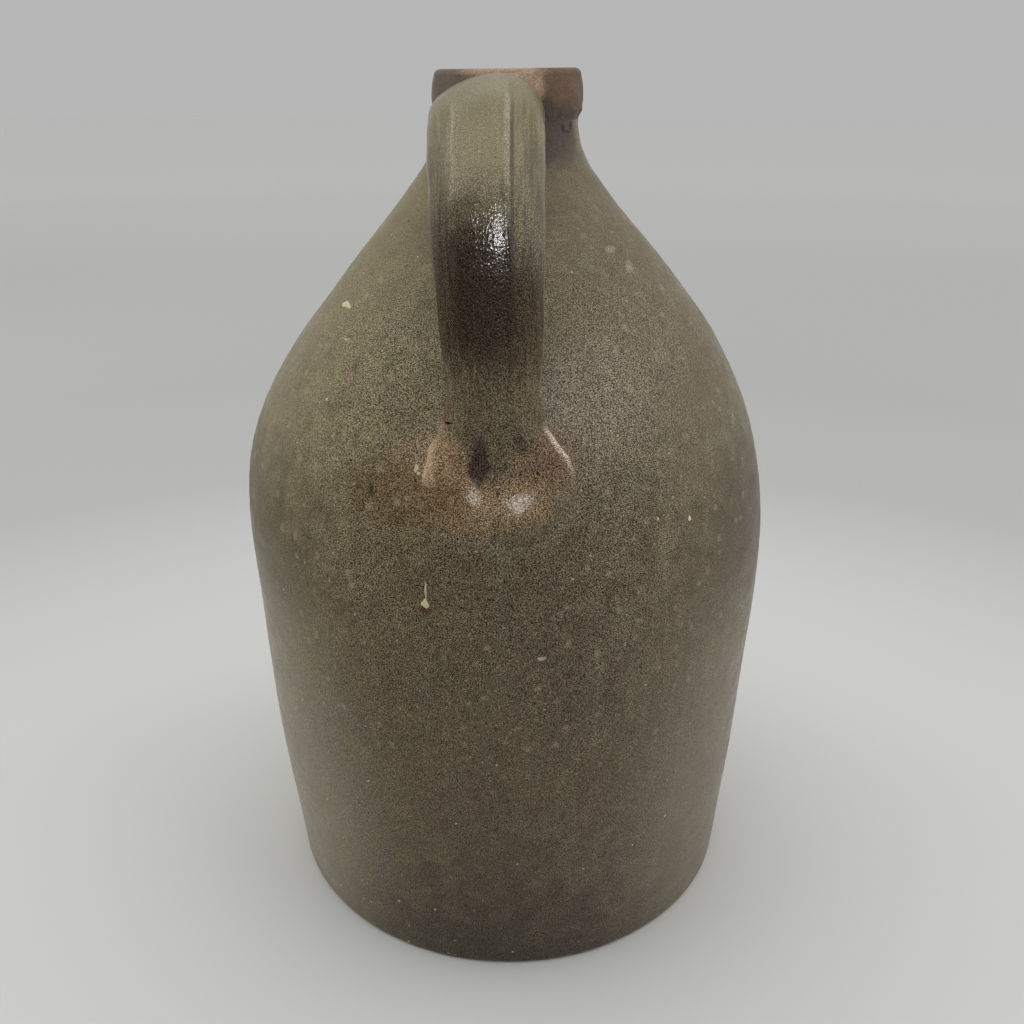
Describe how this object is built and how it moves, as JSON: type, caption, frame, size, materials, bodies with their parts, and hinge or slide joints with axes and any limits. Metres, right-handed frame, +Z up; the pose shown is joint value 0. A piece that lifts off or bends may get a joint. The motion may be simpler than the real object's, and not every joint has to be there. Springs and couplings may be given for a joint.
{
  "type": "stoneware jug",
  "caption": "Round-shouldered salt-glazed stoneware jug with a narrow ringed mouth for a cork and a pulled strap handle, for storing and pouring liquids.",
  "frame": {"origin": "centre of the underside, where the jug's axis meets the table", "axes": "+Z up the jug's axis, -Y from the axis towards the handle, +X to the right as one looks at the handle"},
  "size_m": [0.2524, 0.2524, 0.394],
  "materials": {
    "body_glaze": "olive-grey to brown salt glaze, finely pitted, satin to glossy",
    "lip_glaze": "warm brown salt glaze, satin",
    "handle_glaze": "olive salt glaze, glossy, with fine glints along the ridges",
    "wad_glaze": "rusty brown salt glaze, satin",
    "brown_slip": "dark brown slip glaze, smooth"
  },
  "bodies": {
    "root": {"lower_body": "body_glaze", "shoulder": "body_glaze", "lip_ring": "lip_glaze", "strap_handle": "handle_glaze", "handle_foot_wad": "wad_glaze", "slip_lining": "brown_slip"}
  },
  "joints": []
}
